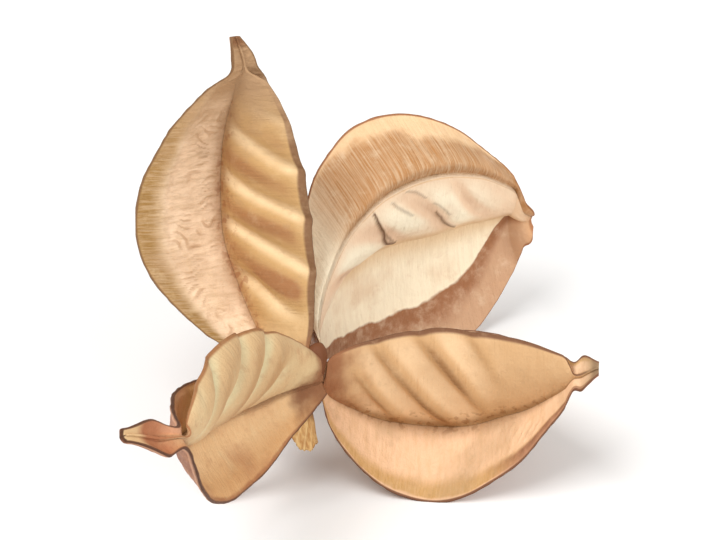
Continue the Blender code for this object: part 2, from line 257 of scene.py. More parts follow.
class Outline:
    """One section of a valve with the marks that its finish reads."""

    def __init__(self):
        self.points = []
        self.marks = {"across": [], "ridge": [], "septum": [], "outside": [], "fold": []}

    def add(self, points, **marks):
        """Adds a stretch of the outline. A mark is one number or one for each point."""
        self.points.append(points)
        for name, values in self.marks.items():
            values.append(np.broadcast_to(marks.get(name, 0.0), len(points)))

    def finished(self):
        """The whole outline's points, and its marks at each of them."""
        marks = {name: np.concatenate(values) for name, values in self.marks.items()}
        return np.vstack(self.points), marks


def rim(inner, outer, before, count):
    """A round margin from the inner wall's end to the outer wall's end. Before is the
    unit direction in which the margin looks."""
    middle = (inner + outer) / 2
    half = (outer - inner) / 2
    depth = np.linalg.norm(half)
    turns = np.linspace(0, math.pi, count + 2)[1:-1]
    return (middle - np.outer(np.cos(turns), half)
            + np.outer(np.sin(turns) - 1, before * depth))


def fold_wave(form, s, h):
    """The slanting folds at heights h of a partition, and how strong they are there."""
    share = meridian(form, s)[0] / form.length
    uneven = 0.35 * noise.noise((4 * share, 0.0, form.seed))
    turn = 2 * math.pi * (form.folds * share + form.slant * h + form.phase + uneven)
    wave = np.sin(turn + 0.45 * np.cos(turn))
    fade = 1 - smooth(form.folds_end, form.folds_end + 0.18, share)
    strength = smooth(0.08, 0.22, share) * fade
    return wave, strength * (0.85 + 0.4 * noise.noise((7 * share, 3.0, form.seed)))


def septum_rows(form, shape, s):
    """A standing septum's two faces, from its root up and down again, with marks."""
    radius = meridian(form, s)[1]
    count = shape.septum_points
    h = np.linspace(0, 1, count)
    end = smooth(0.72 + form.reach, 0.86 + form.reach, s)
    height = radius * form.septum * smooth(0, 0.06, s) * (1 - 0.9 * end)
    height = max(height, SEPTUM_MIN)
    lean = math.radians(form.lean) * smooth(0.4, 2.5, height)
    lean = lean if abs(lean) > 1e-4 else 1e-4
    middle = np.stack([height / lean * (1 - np.cos(lean * h)),
                       height / lean * np.sin(lean * h) - radius], -1)
    sideways = outward(middle)
    wave, strength = fold_wave(form, s, h)
    alive = strength * np.sin(FOLD_RUN * h)**0.8
    sharp = wave - shape.fold_sharpness * np.exp(-((wave + 1) / 0.35)**2)
    middle = middle + sideways * (shape.fold_gain * FOLD_DEPTH * alive * sharp)[:, None]
    quarter = wall_line(form, s, [-ROOT_SHARE, ROOT_SHARE])
    root = min(-quarter[0, 0], quarter[1, 0])
    thickness = min(SEPTUM, 1.2 * root) * (1.1 - 0.25 * h)
    thickness = thickness * (1 + 0.7 * np.exp(-12 * h) * smooth(1, 4, radius))
    thickness[-3:] *= (0.93, 0.78, 0.45)     # a rounded free edge
    offset = sideways * (thickness / 2)[:, None]
    # The fold wave, which the finish paints as highlight on the crests and shade between them
    mark = wave * strength * smooth(0, 0.1, h) * (1 - 0.7 * smooth(0.8, 1, h))
    return middle - offset, (middle + offset)[::-1], h, mark, thickness[0], root


def lying_rows(form, shape, s):
    """Top of a septum that lies flat on the right half, and the wall beyond it."""
    radius = meridian(form, s)[1]
    cover = form.lying * (1 - 0.35 * smooth(0.7, 0.9, s)) * smooth(-0.1, 0.1, s)
    h = np.linspace(0, 1, 2 * shape.septum_points)
    under = wall_line(form, s, cover * h)
    lift = SEPTUM * (0.35 + 0.65 * smooth(0, 0.25, h)) * min(1, radius / 5)
    bulge = 0.09 * radius * np.sin(math.pi * h) * smooth(0.02, 0.2, s)
    wave, alive = fold_wave(form, s, h)
    alive = alive * np.sin(math.pi * h)
    bulge = (bulge + FOLD_DEPTH * 0.6 * wave * alive) * (1 - smooth(0.75, 0.9, s))
    top = under - outward(under) * (lift + bulge)[:, None]
    # The fold wave, which the finish paints as highlight on the crests and shade between them
    return top, cover, h, wave * alive


def round_margins(full, s, count):
    """The left and the right margin of a section, from its whole inner wall."""
    normals = outward(full)
    thick = wall_thickness(s, np.array([-1.0, 1.0]))
    ends = [(full[0], full[0] + normals[0] * thick[0]),
            (full[-1], full[-1] + normals[-1] * thick[1])]
    looks = [full[0] - full[1], full[-1] - full[-2]]
    looks = [look / (np.linalg.norm(look) + 1e-12) for look in looks]
    return (rim(ends[0][1], ends[0][0], looks[0], count),
            rim(ends[1][0], ends[1][1], looks[1], count))


def add_wall(made, form, s, start, end, count):
    """Adds a stretch of the inner wall to an outline."""
    across = np.linspace(start, end, count)
    made.add(wall_line(form, s, across), across=across)


def fine_outline(form, shape, s):
    """One closed section with its marks: inner wall, septum, round margins, outside."""
    made = Outline()
    count = shape.wall_points
    full = wall_line(form, s, np.linspace(-1, 1, 2 * count + 1))
    left_rim, right_rim = round_margins(full, s, shape.rim_points)
    trim = 0.5 * WALL * MARGIN / (np.linalg.norm(full[-1] - full[0]) / 2 + 1e-9)
    edge = 1 - min(trim, 0.2)
    if form.lying:
        top, cover, h, fold = lying_rows(form, shape, s)
        add_wall(made, form, s, -edge, -0.004, count)
        made.add(top, across=cover * h, ridge=h, septum=1.0, fold=fold)
        add_wall(made, form, s, cover + 0.006, edge, count)
    else:
        rise, fall, h, fold, thickness, root = septum_rows(form, shape, s)
        gone = ROOT_SHARE * 0.5 * thickness / root
        add_wall(made, form, s, -edge, -gone - 0.01, count)
        made.add(rise, ridge=h, septum=1.0, fold=fold, across=-0.001)
        made.add(fall, ridge=h[::-1], septum=1.0, fold=-fold[::-1], across=0.001)
        add_wall(made, form, s, gone + 0.01, edge, count)
    made.add(right_rim, across=1.0, outside=np.linspace(0.2, 0.8, shape.rim_points))
    across = np.linspace(edge, -edge, shape.outer_points)
    line = wall_line(form, s, across[::-1])
    outer = line + outward(line) * wall_thickness(s, across[::-1])[:, None]
    made.add(outer[::-1], across=across, outside=1.0)
    made.add(left_rim, across=-1.0, outside=np.linspace(0.8, 0.2, shape.rim_points))
    return made.finished()


def dried(form, x, outline):
    """Bends, twists and hooks one section as the valve did when it dried."""
    u = min(x / form.length, 1.2)
    turn = math.radians(form.twist) * u
    y = outline[:, 0] * math.cos(turn) - outline[:, 1] * math.sin(turn)
    z = outline[:, 0] * math.sin(turn) + outline[:, 1] * math.cos(turn)
    hook = HOOK_DEPTH * max((u - HOOK_START) / HOOK_RUN, 0)**2
    y = y + form.sideways * form.length * u**2 + form.hook_y * hook
    z = z - form.bend * form.length * u**2 - form.hook_z * hook
    return np.stack([np.full_like(y, x), y, z], -1)


def valve_matrix(form):
    """From the valve's own frame to the row's frame, in millimetres."""
    azimuth = math.radians(form.azimuth)
    opening = math.radians(form.opening)
    out = Vector((math.cos(azimuth), math.sin(azimuth), 0))
    up = Vector((0, 0, 1))
    x_axis = math.cos(opening) * up + math.sin(opening) * out
    z_axis = math.sin(opening) * up - math.cos(opening) * out
    turn = Matrix((x_axis, z_axis.cross(x_axis), z_axis)).transposed()
    roll = Matrix.Rotation(math.radians(form.roll), 3, "X")
    place = (boll_frame() @ turn @ roll).to_4x4()
    base = boll_frame() @ (out * form.hinge)
    place.translation = base + Vector(form.shift) + CENTRE
    return place @ Matrix.Translation((0, 0, form.hinge))


def lumps(points, scale, seed):
    """Even noise from about -1 to 1 at each point, in lumps of scale millimetres."""
    moved = points / scale + np.array([seed, -seed, 2 * seed])
    return np.array([noise.noise(point) for point in moved.tolist()]) * NOISE_GAIN


def surface_normals(grid):
    """Unit normals of a grid of points that closes round its sections."""
    along = np.gradient(grid, axis=0)
    wrapped = np.concatenate([grid[:, -1:], grid, grid[:, :1]], axis=1)
    around = (wrapped[:, 2:] - wrapped[:, :-2]) / 2
    normals = np.cross(around, along)
    return normals / (np.linalg.norm(normals, axis=2)[..., None] + 1e-12)


def kept_inside(grid):
    """The points, none of them outside the box of the solids."""
    low = np.min([corners[0] for corners in NODE_BOXES], axis=0) / MM
    high = np.max([corners[1] for corners in NODE_BOXES], axis=0) / MM
    return np.clip(grid, low + BOX_CLEARANCE, high - BOX_CLEARANCE)


def deselect():
    """Leaves nothing selected."""
    if bpy.context.object and bpy.context.object.mode != "OBJECT":
        bpy.ops.object.mode_set(mode="OBJECT")
    bpy.ops.object.select_all(action="DESELECT")


def tube_from_grid(name, grid, marks):
    """A grid primitive laid on rows of closed sections, its seam and ends closed."""
    rows, columns = grid.shape[:2]
    deselect()
    bpy.ops.mesh.primitive_grid_add(x_subdivisions=columns, y_subdivisions=rows - 1)
    piece = bpy.context.object
    piece.name = piece.data.name = name
    piece.location = (0, 0, 0)
    closed = np.concatenate([grid, grid[:, :1]], axis=1) * MM
    piece.data.vertices.foreach_set("co", closed.astype(np.float32).ravel())
    for mark, values in marks.items():
        kind = "FLOAT_VECTOR" if values.ndim == 3 else "FLOAT"
        layer = piece.data.attributes.new(mark, kind, "POINT")
        wide = np.concatenate([values, values[:, :1]], axis=1).astype(np.float32)
        layer.data.foreach_set("vector" if values.ndim == 3 else "value", wide.ravel())
    bpy.ops.object.mode_set(mode="EDIT")
    bpy.ops.mesh.select_all(action="SELECT")
    bpy.ops.mesh.remove_doubles(threshold=MERGE_DISTANCE)
    bpy.ops.mesh.fill_holes(sides=0)
    bpy.ops.mesh.normals_make_consistent(inside=False)
    bpy.ops.object.mode_set(mode="OBJECT")
    bpy.ops.object.shade_smooth()
    return piece


def hand_over(piece, material, node):
    """Gives a finished piece its material and puts it in the place of its CAD node."""
    piece.data.materials.append(material)
    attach(piece, "root")
    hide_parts(node)


def cracks(form, marks):
    """How near each point is to a crack of the partition that lies flat, up to 1."""
    near = np.zeros(marks["along"].shape)
    if not form.lying:
        return near
    size = (PARTITION_LENGTH, PARTITION_HEIGHT)
    along, up = marks["along"] * size[0], marks["ridge"] * size[1]
    for strength, points in CRACKS:
        line = catmull_rom(points, np.linspace(0, 1, CRACK_POINTS)) * size
        line += [[0.12 * noise.noise((2 * x, y, i)) for i in (0, 9)] for x, y in line]
        for i, (start, end) in enumerate(zip(line, line[1:])):
            step = end - start
            x, y = along - start[0], up - start[1]
            t = np.clip((x * step[0] + y * step[1]) / (step @ step), 0, 1)
            away = np.hypot(x - t * step[0], y - t * step[1])
            belly = math.sin(math.pi * (i + 0.5) / (CRACK_POINTS - 1))
            width = CRACK_WIDTH + CRACK_BELLY * strength * belly
            near = np.maximum(near, strength * (1 - smooth(CRACK_START, width, away)))
    return near * (marks["septum"] > 0.5) * (marks["outside"] < 0.1)


def wrinkles(form, shape, own, marks):
    """How far the dried skin stands out or sinks in at each point, in millimetres."""
    flat = own.reshape(-1, 3)
    inside = 1 - smooth(0.1, 0.6, marks["outside"])

    def uneven(scale, seed, points=flat):
        return lumps(points, scale, form.seed + seed).reshape(inside.shape)

    wander = uneven(6, 0) + 0.3 * uneven(2, 0)
    patches = smooth(-0.4, 0.8, uneven(8, 9)) * smooth(-0.6, 0.3, uneven(2.4, 5))
    ripple = np.sin(2 * math.pi * (own[..., 0] / shape.wrinkle_length + 1.6 * wander))
    trough = np.exp(-((ripple + 1) / 0.5)**2)
    from_midline = np.abs(marks["across"])
    reach = smooth(0.03, 0.2, from_midline) * (1 - 0.8 * smooth(0.55, 0.95, from_midline))
    reach = form.wrinkled * patches * reach * (inside * (1 - marks["septum"]))
    # The wrinkles' troughs, which the finish paints as shade
    marks["wrinkle"] = trough * reach
    relief = shape.wrinkle_depth * (0.6 * ripple - 0.8 * trough) * reach
    relief -= shape.crack_depth * marks["crack"]
    relief += shape.grain_depth * uneven(0.8, 4, flat * (0.45, 1.0, 1.0)) * (1 - inside)
    relief += shape.crumple_depth * uneven(1.7, 2) * (0.4 + 0.6 * inside)
    relief *= smooth(0.01, 0.05, marks["along"])
    return relief * (1 - 0.5 * smooth(0.85, 1, marks["along"]))


def flow(form, stations, own, marks):
    """Where each point lies for the grain: along the valve, round it, and on which side."""
    radii = np.array([meridian(form, s)[1] for s in stations]) + GRAIN_RADIUS
    arc = marks["across"] * radii[:, None] + marks["ridge"] * PARTITION_HEIGHT
    zone = SEPTUM_ZONE * marks["septum"] + OUTSIDE_ZONE * np.round(marks["outside"])
    return np.stack([own[..., 0], arc, zone], -1)


def build_valve(name, form, shape):
    """One valve as a mesh: the solid's form with its wrinkles, folds and round margins."""
    stations = np.linspace(0, 1, shape.stations)
    sections = [fine_outline(form, shape, s) for s in stations]
    marks = {key: np.array([marks[key] for _, marks in sections]) for key in sections[0][1]}
    marks["along"] = np.repeat(stations[:, None], len(sections[0][0]), axis=1)
    own = np.array([dried(form, meridian(form, s)[0], points)
                    for s, (points, _) in zip(stations, sections)])
    sway = np.stack([lumps(own.reshape(-1, 3), 7, form.seed + 20 + i) for i in range(3)], -1)
    sway = shape.sway * sway.reshape(own.shape)
    own = own + sway * smooth(0.03, 0.2, marks["along"])[..., None]
    place = valve_matrix(form)
    grid = own @ np.array(place.to_3x3()).T + np.array(place.translation)
    normals = surface_normals(grid)
    marks["crack"] = cracks(form, marks)
    grid = grid + normals * wrinkles(form, shape, own, marks)[..., None]
    marks["flow"] = flow(form, stations, own, marks)
    return tube_from_grid(name, kept_inside(grid), marks)


def stalk_point(t):
    """A point of the stalk's middle line, t millimetres below the centre."""
    bow = STALK_BEND * smooth(2, STALK_LENGTH, t)**1.3
    point = boll_frame() @ Vector((-bow, -0.2 * bow, -t))
    return point + CENTRE


def stalk_radius(t):
    """Radius of the column and the stalk below it."""
    column = COLUMN_RADIUS * math.sqrt(max(1 - (t / COLUMN_HALF)**2, 0))
    stalk = STALK_RADIUS * (1 - 0.12 * smooth(6, STALK_LENGTH, t)) * smooth(-1, 2.5, t)
    return max(column, float(stalk))


def build_stem(name, shape):
    """The column and the ridged stalk with its splintered end, as one mesh."""
    turns = np.linspace(0, 2 * math.pi, shape.stem_points, endpoint=False)
    depths = np.concatenate([-COLUMN_HALF * np.cos(np.linspace(0.1, math.pi / 2, 24)),
                             np.linspace(0.1, STALK_LENGTH - 0.5, shape.stem_rows)])
    frame_axes = np.array(boll_frame())
    ring = np.stack([np.cos(turns), np.sin(turns), 0 * turns], -1)
    rows, below, broken = [], [], []
    for t in depths:
        low = smooth(1, 5, t)
        ridges = np.sin(5 * turns + 0.12 * t)**3 + 0.5 * np.sin(11 * turns - 0.2 * t)
        radius = stalk_radius(t) * (1 + 0.07 * low * ridges - 0.05)
        radius = radius + 0.1 * low * np.exp(-((t - 8.2) / 0.5)**2)
        rows.append(np.array(stalk_point(t)) + (ring * radius[:, None]) @ frame_axes.T)
        below.append(np.full(len(turns), t))
        broken.append(np.zeros(len(turns)))
    splinters = lumps(np.stack([8 * np.cos(turns), 8 * np.sin(turns), turns], -1), 1.1, 5)
    for share in (0.96, 0.85, 0.6, 0.35, 0.12):
        t = STALK_LENGTH - 0.45 + 0.3 * splinters * share**2 - 0.4 * (1 - share)
        middle = np.array([list(stalk_point(depth)) for depth in t])
        rows.append(middle + ring @ frame_axes.T * stalk_radius(STALK_LENGTH) * share)
        below.append(t)
        broken.append(np.ones(len(turns)))
    grid = np.array(rows)
    marks = {"below": np.array(below), "broken": np.array(broken)}
    flat = grid.reshape(-1, 3)
    bark = lumps(flat * np.array([1, 1, 0.35]), 0.7, 12).reshape(grid.shape[:2])
    grid = grid + surface_normals(grid) * (shape.bark_depth * bark)[..., None]
    return tube_from_grid(name, kept_inside(grid), marks)


def calyx_edge(turn):
    """Depth of the calyx's ragged edge at an angle round the stalk."""
    tooth = abs(math.sin(CALYX_TEETH * turn / 2))**0.7
    return CALYX_DEPTH + TOOTH * tooth * (1 + 0.35 * math.sin(2 * turn + 0.6))


def build_calyx(name, shape):
    """The papery calyx: a thin skirt with a torn edge and fine radial veins."""
    axes = np.array(boll_frame())
    count = shape.calyx_rows
    down_share = np.concatenate([np.linspace(0, 1, count), np.linspace(1, 0, count)])
    side = np.concatenate([np.full(count, 1.0), np.full(count, -1.0)])
    turns = np.linspace(0, 2 * math.pi, shape.calyx_points + 1)
    rows, vein, depth = [], [], []
    for turn in turns:
        tear = 0.25 * noise.noise((6 * math.cos(turn), 6 * math.sin(turn), 2.0))
        tear += 0.16 * noise.noise((22 * math.cos(turn), 22 * math.sin(turn), 7.0))
        down = (calyx_edge(turn) - 0.3 + tear) * down_share
        radius = CALYX_RADIUS + CALYX_FLARE * down + 0.05 * down**2
        radius = radius + 0.12 * down * math.sin(3 * turn + 1)
        ribs = math.sin(23 * turn + 2 * math.sin(3 * turn))
        radius = radius + 0.07 * ribs * smooth(0.1, 0.5, down_share)
        thin = 0.5 * CALYX_THICKNESS * (1 - 0.55 * smooth(0.4, 1, down_share))
        radius = radius + side * thin
        points = np.stack([radius * math.cos(turn), radius * math.sin(turn), 0 * radius], -1)
        middle = np.array([list(stalk_point(CALYX_TOP + d)) for d in down])
        rows.append(middle + points @ axes.T)
        vein.append(np.full(len(down), ribs))
        depth.append(down_share)
    marks = {"vein": np.array(vein), "depth": np.array(depth)}
    return tube_from_grid(name, kept_inside(np.array(rows)), marks)


class Paint:
    """Lays out the nodes of one material."""

    def __init__(self, name, roughness):
        self.surface = bpy.data.materials.new(name)
        self.surface.use_nodes = True
        self.tree = self.surface.node_tree
        self.shader = self.tree.nodes["Principled BSDF"]
        self.shader.inputs["Roughness"].default_value = roughness
        self.shader.inputs["Specular IOR Level"].default_value = 0.25

    def node(self, kind, **settings):
        """A new shader node with some of its settings."""
        made = self.tree.nodes.new("ShaderNode" + kind)
        for name, value in settings.items():
            setattr(made, name, value)
        return made

    def put(self, socket, value):
        """Links a socket, or sets it to a number or colour."""
        if isinstance(value, bpy.types.NodeSocket):
            self.tree.links.new(value, socket)
        else:
            socket.default_value = value

    def mark(self, name, output="Fac"):
        """A mark of the mesh at the shaded point."""
        return self.node("Attribute", attribute_name=name).outputs[output]

    def place(self):
        """The shaded point, in metres."""
        return self.node("TexCoord").outputs["Object"]

    def math(self, operation, a, b=0.0):
        made = self.node("Math", operation=operation)
        self.put(made.inputs[0], a)
        self.put(made.inputs[1], b)
        return made.outputs[0]

    def times(self, value, *factors):
        """The product of all the values."""
        for factor in factors:
            value = self.math("MULTIPLY", value, factor)
        return value

    def step(self, value, start, end, low=0.0, high=1.0):
        """A smooth step of a value, from low at start to high at end."""
        made = self.node("MapRange", interpolation_type="SMOOTHSTEP")
        for name, entry in (("Value", value), ("From Min", start), ("From Max", end),
                            ("To Min", low), ("To Max", high)):
            self.put(made.inputs[name], entry)
        return made.outputs[0]

    def stretched(self, vector, scale):
        """A place, scaled along each axis."""
        made = self.node("Mapping")
        self.put(made.inputs["Vector"], vector)
        made.inputs["Scale"].default_value = scale
        return made.outputs[0]

    def noise(self, vector, scale, detail, roughness=0.55):
        """A cloudy pattern about 0.5."""
        made = self.node("TexNoise")
        self.put(made.inputs["Vector"], vector)
        made.inputs["Scale"].default_value = scale
        made.inputs["Detail"].default_value = detail
        made.inputs["Roughness"].default_value = roughness
        return made.outputs["Fac"]

    def mix(self, factor, under, over):
        """One colour at factor 0, the other at factor 1."""
        made = self.node("Mix", data_type="RGBA")
        self.put(made.inputs["Factor"], factor)
        self.put(made.inputs[6], under)
        self.put(made.inputs[7], over)
        return made.outputs[2]

    def over(self, under, colour, value, start, end, most=1.0):
        """A colour laid over another: not at all where the value is at start, most at end."""
        return self.mix(self.step(value, start, end, 0.0, most), under, colour)

    def bump(self, height, distance, under=None):
        """A normal from a height, over another bump if one is given."""
        made = self.node("Bump")
        made.inputs["Distance"].default_value = distance
        self.put(made.inputs["Height"], height)
        if under is not None:
            self.put(made.inputs["Normal"], under)
        return made.outputs[0]

    def finish(self, colour, normal):
        """The finished material."""
        self.put(self.shader.inputs["Base Color"], colour)
        self.put(self.shader.inputs["Normal"], normal)
        return self.surface


def srgb(red, green, blue):
    """A colour as seen on screen (0 to 255), in Blender's linear values."""
    share = [value / 255 for value in (red, green, blue)]
    return (*[c / 12.92 if c <= 0.04045 else ((c + 0.055) / 1.055)**2.4 for c in share], 1.0)


@dataclass
class Skin:
    """The colours of one valve, from its midline to its margins and its outside."""
    middle: tuple
    band: tuple
    rim: tuple
    edge: tuple
    septum: tuple
    # Painted highlight on the partition's fold crests; also the pale patches of the mottle
    light: tuple
    # Painted shade between the partition's folds; also the colour of the dark dots
    fold: tuple
    # Painted shade along the partition's foot and in the wrinkles' troughs
    crease_shade: tuple
    tip: tuple
    base: tuple
    outer: tuple
    outer_pale: tuple
    free_edge: tuple           # of the partition
    point: tuple               # the beak's end
    near: tuple = None         # the margin of the half at Y < 0, where it differs
    free_start: float = 0.92   # where the free edge begins, share of the height
    band_start: float = 0.45   # from the midline towards the margins
    band_end: float = 0.8
    band_left: float = 1.0     # how much of the band shows on the half at Y < 0
    band_from: float = -1.0    # share of the length where the band begins
    rim_start: float = 0.9
    rim_bow: float = 0.0       # how much the pale rim narrows towards both ends
    near_start: float = 1.0
    near_from: float = 0.0     # share of the length where that margin begins
    near_slope: float = 0.0    # how much it widens towards the tip
    near_soft: float = 0.012   # how softly it begins
    ink: float = 1.0           # how plain the dark line along it is
    tip_start: float = 0.7
    base_end: float = 0.14
    base_wall: float = 1.0     # how much of the base's colour shows on the wall
    streaks: float = 0.25      # how plain the streaks across the wall are
    dots: float = 0.65         # how plain the dark dots along the crease are


CRACK_BROWN = srgb(98, 56, 12)
SKINS = {
    "valve_upright": Skin(
        middle=srgb(236, 206, 174), band=srgb(150, 112, 58), rim=srgb(152, 116, 62),
        edge=srgb(126, 92, 60), septum=srgb(190, 150, 98), light=srgb(232, 202, 158),
        fold=srgb(150, 96, 58), crease_shade=srgb(160, 112, 70), tip=srgb(174, 138, 102),
        base=srgb(150, 98, 60), outer=srgb(150, 98, 70), outer_pale=srgb(206, 160, 128),
        free_edge=srgb(126, 90, 60), point=srgb(140, 98, 66),
        band_start=0.7, band_end=0.9, rim_start=0.96, tip_start=0.52, streaks=0.3),
    "valve_back": Skin(
        middle=srgb(255, 239, 208), band=srgb(176, 124, 74), rim=srgb(232, 194, 150),
        edge=srgb(156, 104, 68), septum=srgb(238, 204, 170), light=srgb(254, 241, 212),
        fold=srgb(206, 164, 130), crease_shade=srgb(224, 186, 138), tip=srgb(214, 168, 126),
        base=srgb(228, 192, 150), outer=srgb(150, 100, 74), outer_pale=srgb(208, 168, 134),
        near=srgb(152, 98, 62), free_edge=srgb(220, 180, 138), point=srgb(176, 122, 82),
        free_start=0.97, band_start=0.0, band_end=0.02, band_left=0.0, band_from=0.19,
        rim_start=0.885, rim_bow=1.7, near_start=0.98, near_slope=0.85, near_soft=0.03,
        ink=0.35, tip_start=0.76, base_end=0.1, streaks=0.1, dots=0.0),
    "valve_right": Skin(
        middle=srgb(234, 194, 156), band=srgb(192, 150, 94), rim=srgb(234, 192, 154),
        edge=srgb(118, 78, 54), septum=srgb(198, 156, 110), light=srgb(226, 190, 148),
        fold=srgb(134, 88, 46), crease_shade=srgb(138, 94, 50), tip=srgb(170, 140, 104),
        base=srgb(146, 94, 60), outer=srgb(134, 86, 62), outer_pale=srgb(196, 146, 114),
        near=srgb(142, 98, 70), free_edge=srgb(120, 80, 54), point=srgb(150, 122, 92),
        free_start=0.95, band_start=0.64, band_end=0.86, rim_start=0.94, near_start=0.7,
        near_from=0.5, near_soft=0.1, tip_start=0.8, base_end=0.27, base_wall=0.15),
    "valve_front": Skin(
        middle=srgb(226, 186, 138), band=srgb(208, 158, 106), rim=srgb(170, 116, 76),
        edge=srgb(96, 60, 40), septum=srgb(200, 166, 122), light=srgb(214, 200, 158),
        fold=srgb(172, 130, 88), crease_shade=srgb(130, 84, 48), tip=srgb(168, 106, 70),
        base=srgb(134, 88, 56), outer=srgb(146, 92, 66), outer_pale=srgb(212, 160, 126),
        near=srgb(232, 164, 118), free_edge=srgb(156, 108, 68), point=srgb(212, 176, 130),
        free_start=0.95, band_start=0.4, band_end=0.85, near_start=0.15, near_from=0.4,
        near_soft=0.2, ink=0.0, base_end=0.16),
}


class ValvePaint(Paint):
    """The layers of a valve's dry skin, with the marks and patterns that they share."""

    def __init__(self, name, skin):
        super().__init__(name, 0.62)
        self.skin = skin
        self.along = self.mark("along")
        self.septum = self.mark("septum")
        side = self.mark("across")
        self.left = self.step(side, 0.01, -0.01)
        self.across = self.math("ABSOLUTE", side)
        place = self.place()
        self.wander = self.noise(place, 260, 3)
        self.mottle = self.noise(place, 420, 6, 0.65)
        self.clouds = self.noise(place, 120, 3, 0.5)
        self.speckle = self.noise(place, 2600, 3, 0.6)
        self.dots = self.step(self.noise(place, 1000, 2, 0.5), 0.53, 0.62, 0.0, skin.dots)
        grain = self.mark("flow", "Vector")
        self.streaks = self.noise(self.stretched(grain, (1.5, 0.16, 0.3)), 1.0, 5, 0.62)
        self.fine_streaks = self.noise(self.stretched(grain, (4.5, 0.3, 0.3)), 1.0, 4, 0.6)
        self.fibres = self.noise(self.stretched(grain, (0.12, 1.4, 0.3)), 1.0, 5, 0.6)
        uneven = self.step(self.wander, 0.2, 0.8, -0.025, 0.025)
        self.shifted = self.math("ADD", self.across, uneven)

    def wall(self):
        """Cream in the middle, with a darker band and a rim towards the margins."""
        skin = self.skin
        band = self.times(self.step(self.shifted, skin.band_start, skin.band_end),
                          self.step(self.left, 0.0, 1.0, 1.0, skin.band_left),
                          self.step(self.along, skin.band_from, skin.band_from + 0.14))
        banded = self.over(skin.band, skin.middle, self.fine_streaks, 0.35, 0.7, 0.28)
        wall = self.mix(band, skin.middle, banded)
        off_centre = self.math("SUBTRACT", self.along, 0.53)
        narrowed = self.times(off_centre, off_centre, skin.rim_bow)
        at_rim = self.math("SUBTRACT", self.shifted, narrowed)
        wall = self.over(wall, skin.rim, at_rim, skin.rim_start, skin.rim_start + 0.05)
        wall = self.over(wall, skin.band, self.streaks, 0.42, 0.68, skin.streaks)
        wall = self.over(wall, skin.tip, self.clouds, 0.5, 0.72, 0.4)
        # Painted shade in the crease by the partition's foot
        wall = self.over(wall, skin.crease_shade, self.across, 0.26, 0.0, 0.75)
        # Painted shade in the wrinkles' troughs
        wall = self.over(wall, skin.crease_shade, self.mark("wrinkle"), 0.15, 0.9, 0.42)
        dotted = self.times(self.dots, self.step(self.across, 0.2, 0.02))
        return self.mix(dotted, wall, skin.fold)

    def near_margin(self, wall):
        """The wall with the margin of its half at Y < 0 in that margin's own colour."""
        skin = self.skin
        start, slope = skin.near_start, skin.near_slope
        widened = self.math("ADD", self.times(self.along, slope),
                            self.step(self.along, 0.6, 0.78, 0.0, slope / 2))
        widened = self.math("ADD", widened, self.shifted)
        margin = self.over(skin.near, skin.outer_pale, self.mottle, 0.36, 0.66, 0.4)
        margin = self.over(margin, skin.outer_pale, widened, start + 0.1, start + 0.34, 0.8)
        margin = self.over(margin, skin.edge, widened, start + 0.05, start + 0.015, skin.ink)
        shown = self.times(self.step(widened, start, start + skin.near_soft), self.left,
                           self.step(self.along, skin.near_from, skin.near_from + 0.12))
        return self.mix(shown, wall, margin)

    def partition(self):
        """Painted highlight on the folds, painted shade between them and at the foot, and
        darker along the free edge.
        """
        skin = self.skin
        fold, ridge = self.mark("fold"), self.mark("ridge")
        # Painted highlight on the fold crests
        tissue = self.over(skin.septum, skin.light, fold, -0.3, 0.75)
        tissue = self.over(tissue, skin.septum, self.clouds, 0.45, 0.7, 0.5)
        # Painted shade between the folds, soft and then deeper in the valleys
        tissue = self.over(tissue, skin.fold, fold, -0.2, -0.8, 0.3)
        tissue = self.over(tissue, skin.fold, fold, -0.6, -0.98, 0.75)
        # Painted shade at the partition's foot, in the crease
        tissue = self.over(tissue, skin.crease_shade, ridge, 0.16, 0.0, 0.75)
        dotted = self.times(self.dots, self.step(ridge, 0.25, 0.03))
        tissue = self.mix(dotted, tissue, skin.fold)
        return self.over(tissue, skin.free_edge, ridge, skin.free_start,
                         skin.free_start + 0.03)

    def inside(self):
        """The wall and the partition, with what covers both towards the tip and the base."""
        skin = self.skin
        wall = self.near_margin(self.wall()) if skin.near else self.wall()
        inner = self.mix(self.septum, wall, self.partition())
        inner = self.over(inner, skin.light, self.mottle, 0.5, 0.8, 0.25)
        inner = self.over(inner, skin.tip, self.mottle, 0.46, 0.25, 0.3)
        ends = self.math("ADD", self.along, self.step(self.wander, 0.2, 0.8, -0.05, 0.05))
        inner = self.over(inner, skin.tip, ends, skin.tip_start, skin.tip_start + 0.22)
        inner = self.over(inner, skin.point, self.along, 0.93, 0.97)
        at_base = self.times(self.step(ends, skin.base_end, skin.base_end / 4),
                             self.step(self.septum, 0.0, 1.0, skin.base_wall, 1.0))
        inner = self.mix(at_base, inner, skin.base)
        return self.mix(self.mark("crack"), inner, CRACK_BROWN)

    def husk(self):
        """The mottled outside, paler along the margins."""
        skin = self.skin
        husk = self.over(skin.outer, skin.outer_pale, self.clouds, 0.35, 0.7, 0.7)
        husk = self.over(husk, skin.outer, self.mottle, 0.4, 0.66, 0.6)
        husk = self.over(husk, skin.edge, self.fibres, 0.42, 0.7, 0.25)
        husk = self.over(husk, skin.edge, self.speckle, 0.56, 0.68, 0.5)
        husk = self.over(husk, skin.outer_pale, self.speckle, 0.42, 0.3, 0.4)
        return self.over(husk, skin.outer_pale, self.shifted, 0.84, 0.92, 0.75)


